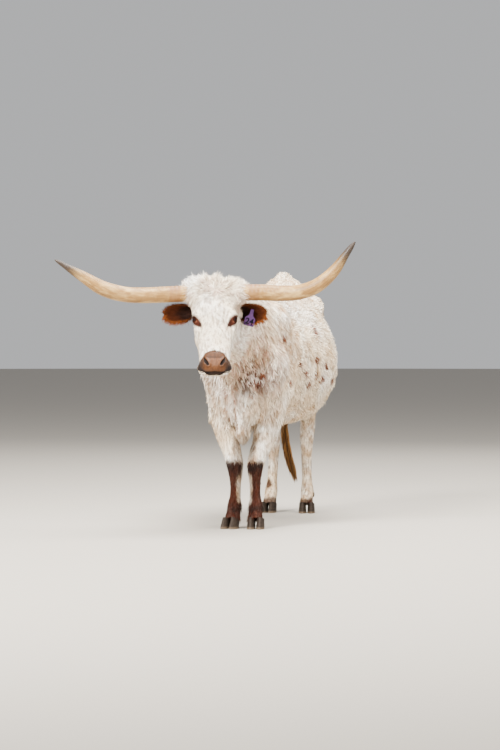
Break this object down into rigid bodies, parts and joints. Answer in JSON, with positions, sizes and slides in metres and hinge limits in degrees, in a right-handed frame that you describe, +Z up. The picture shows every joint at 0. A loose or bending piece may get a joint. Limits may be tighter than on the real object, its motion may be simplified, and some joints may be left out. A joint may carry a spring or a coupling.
{
  "type": "texas longhorn cow",
  "caption": "Life-size standing longhorn cow, head turned to her left, with wide horns, a tagged ear, dewlap, cloven feet and hanging tail.",
  "frame": {"origin": "middle of the animal's box, on the ground between the feet", "axes": "+X to the animal's left, -Y the way the body faces, +Z up"},
  "size_m": [1.4496, 2.1331, 1.4428],
  "materials": {
    "coat": "short cream-white hair, freckled red-brown",
    "ear": "red-brown hair round a dark cup",
    "horn": "smooth cream horn with darker tips",
    "eye": "wet dark brown",
    "hoof": "dull grey-brown horn",
    "switch": "long golden-brown hair",
    "tag": "purple flexible plastic, no lettering"
  },
  "bodies": {
    "root": {"horn_left": "horn", "horn_right": "horn", "eye_left": "eye", "eye_right": "eye", "ear_left": "ear", "ear_right": "ear", "ear_tag": "tag", "tail": "coat", "tail_switch": "switch", "udder": "coat", "head": "coat", "neck": "coat", "torso": "coat", "forearm_left": "coat", "fore_shank_left": "coat", "thigh_left": "coat", "hind_shank_left": "coat", "hoof_front_left_outer": "hoof", "dewclaw_front_left_outer": "hoof", "hoof_front_left_inner": "hoof", "dewclaw_front_left_inner": "hoof", "hoof_hind_left_outer": "hoof", "dewclaw_hind_left_outer": "hoof", "hoof_hind_left_inner": "hoof", "dewclaw_hind_left_inner": "hoof", "forearm_right": "coat", "fore_shank_right": "coat", "thigh_right": "coat", "hind_shank_right": "coat", "hoof_front_right_outer": "hoof", "dewclaw_front_right_outer": "hoof", "hoof_front_right_inner": "hoof", "dewclaw_front_right_inner": "hoof", "hoof_hind_right_outer": "hoof", "dewclaw_hind_right_outer": "hoof", "hoof_hind_right_inner": "hoof", "dewclaw_hind_right_inner": "hoof"}
  },
  "joints": []
}
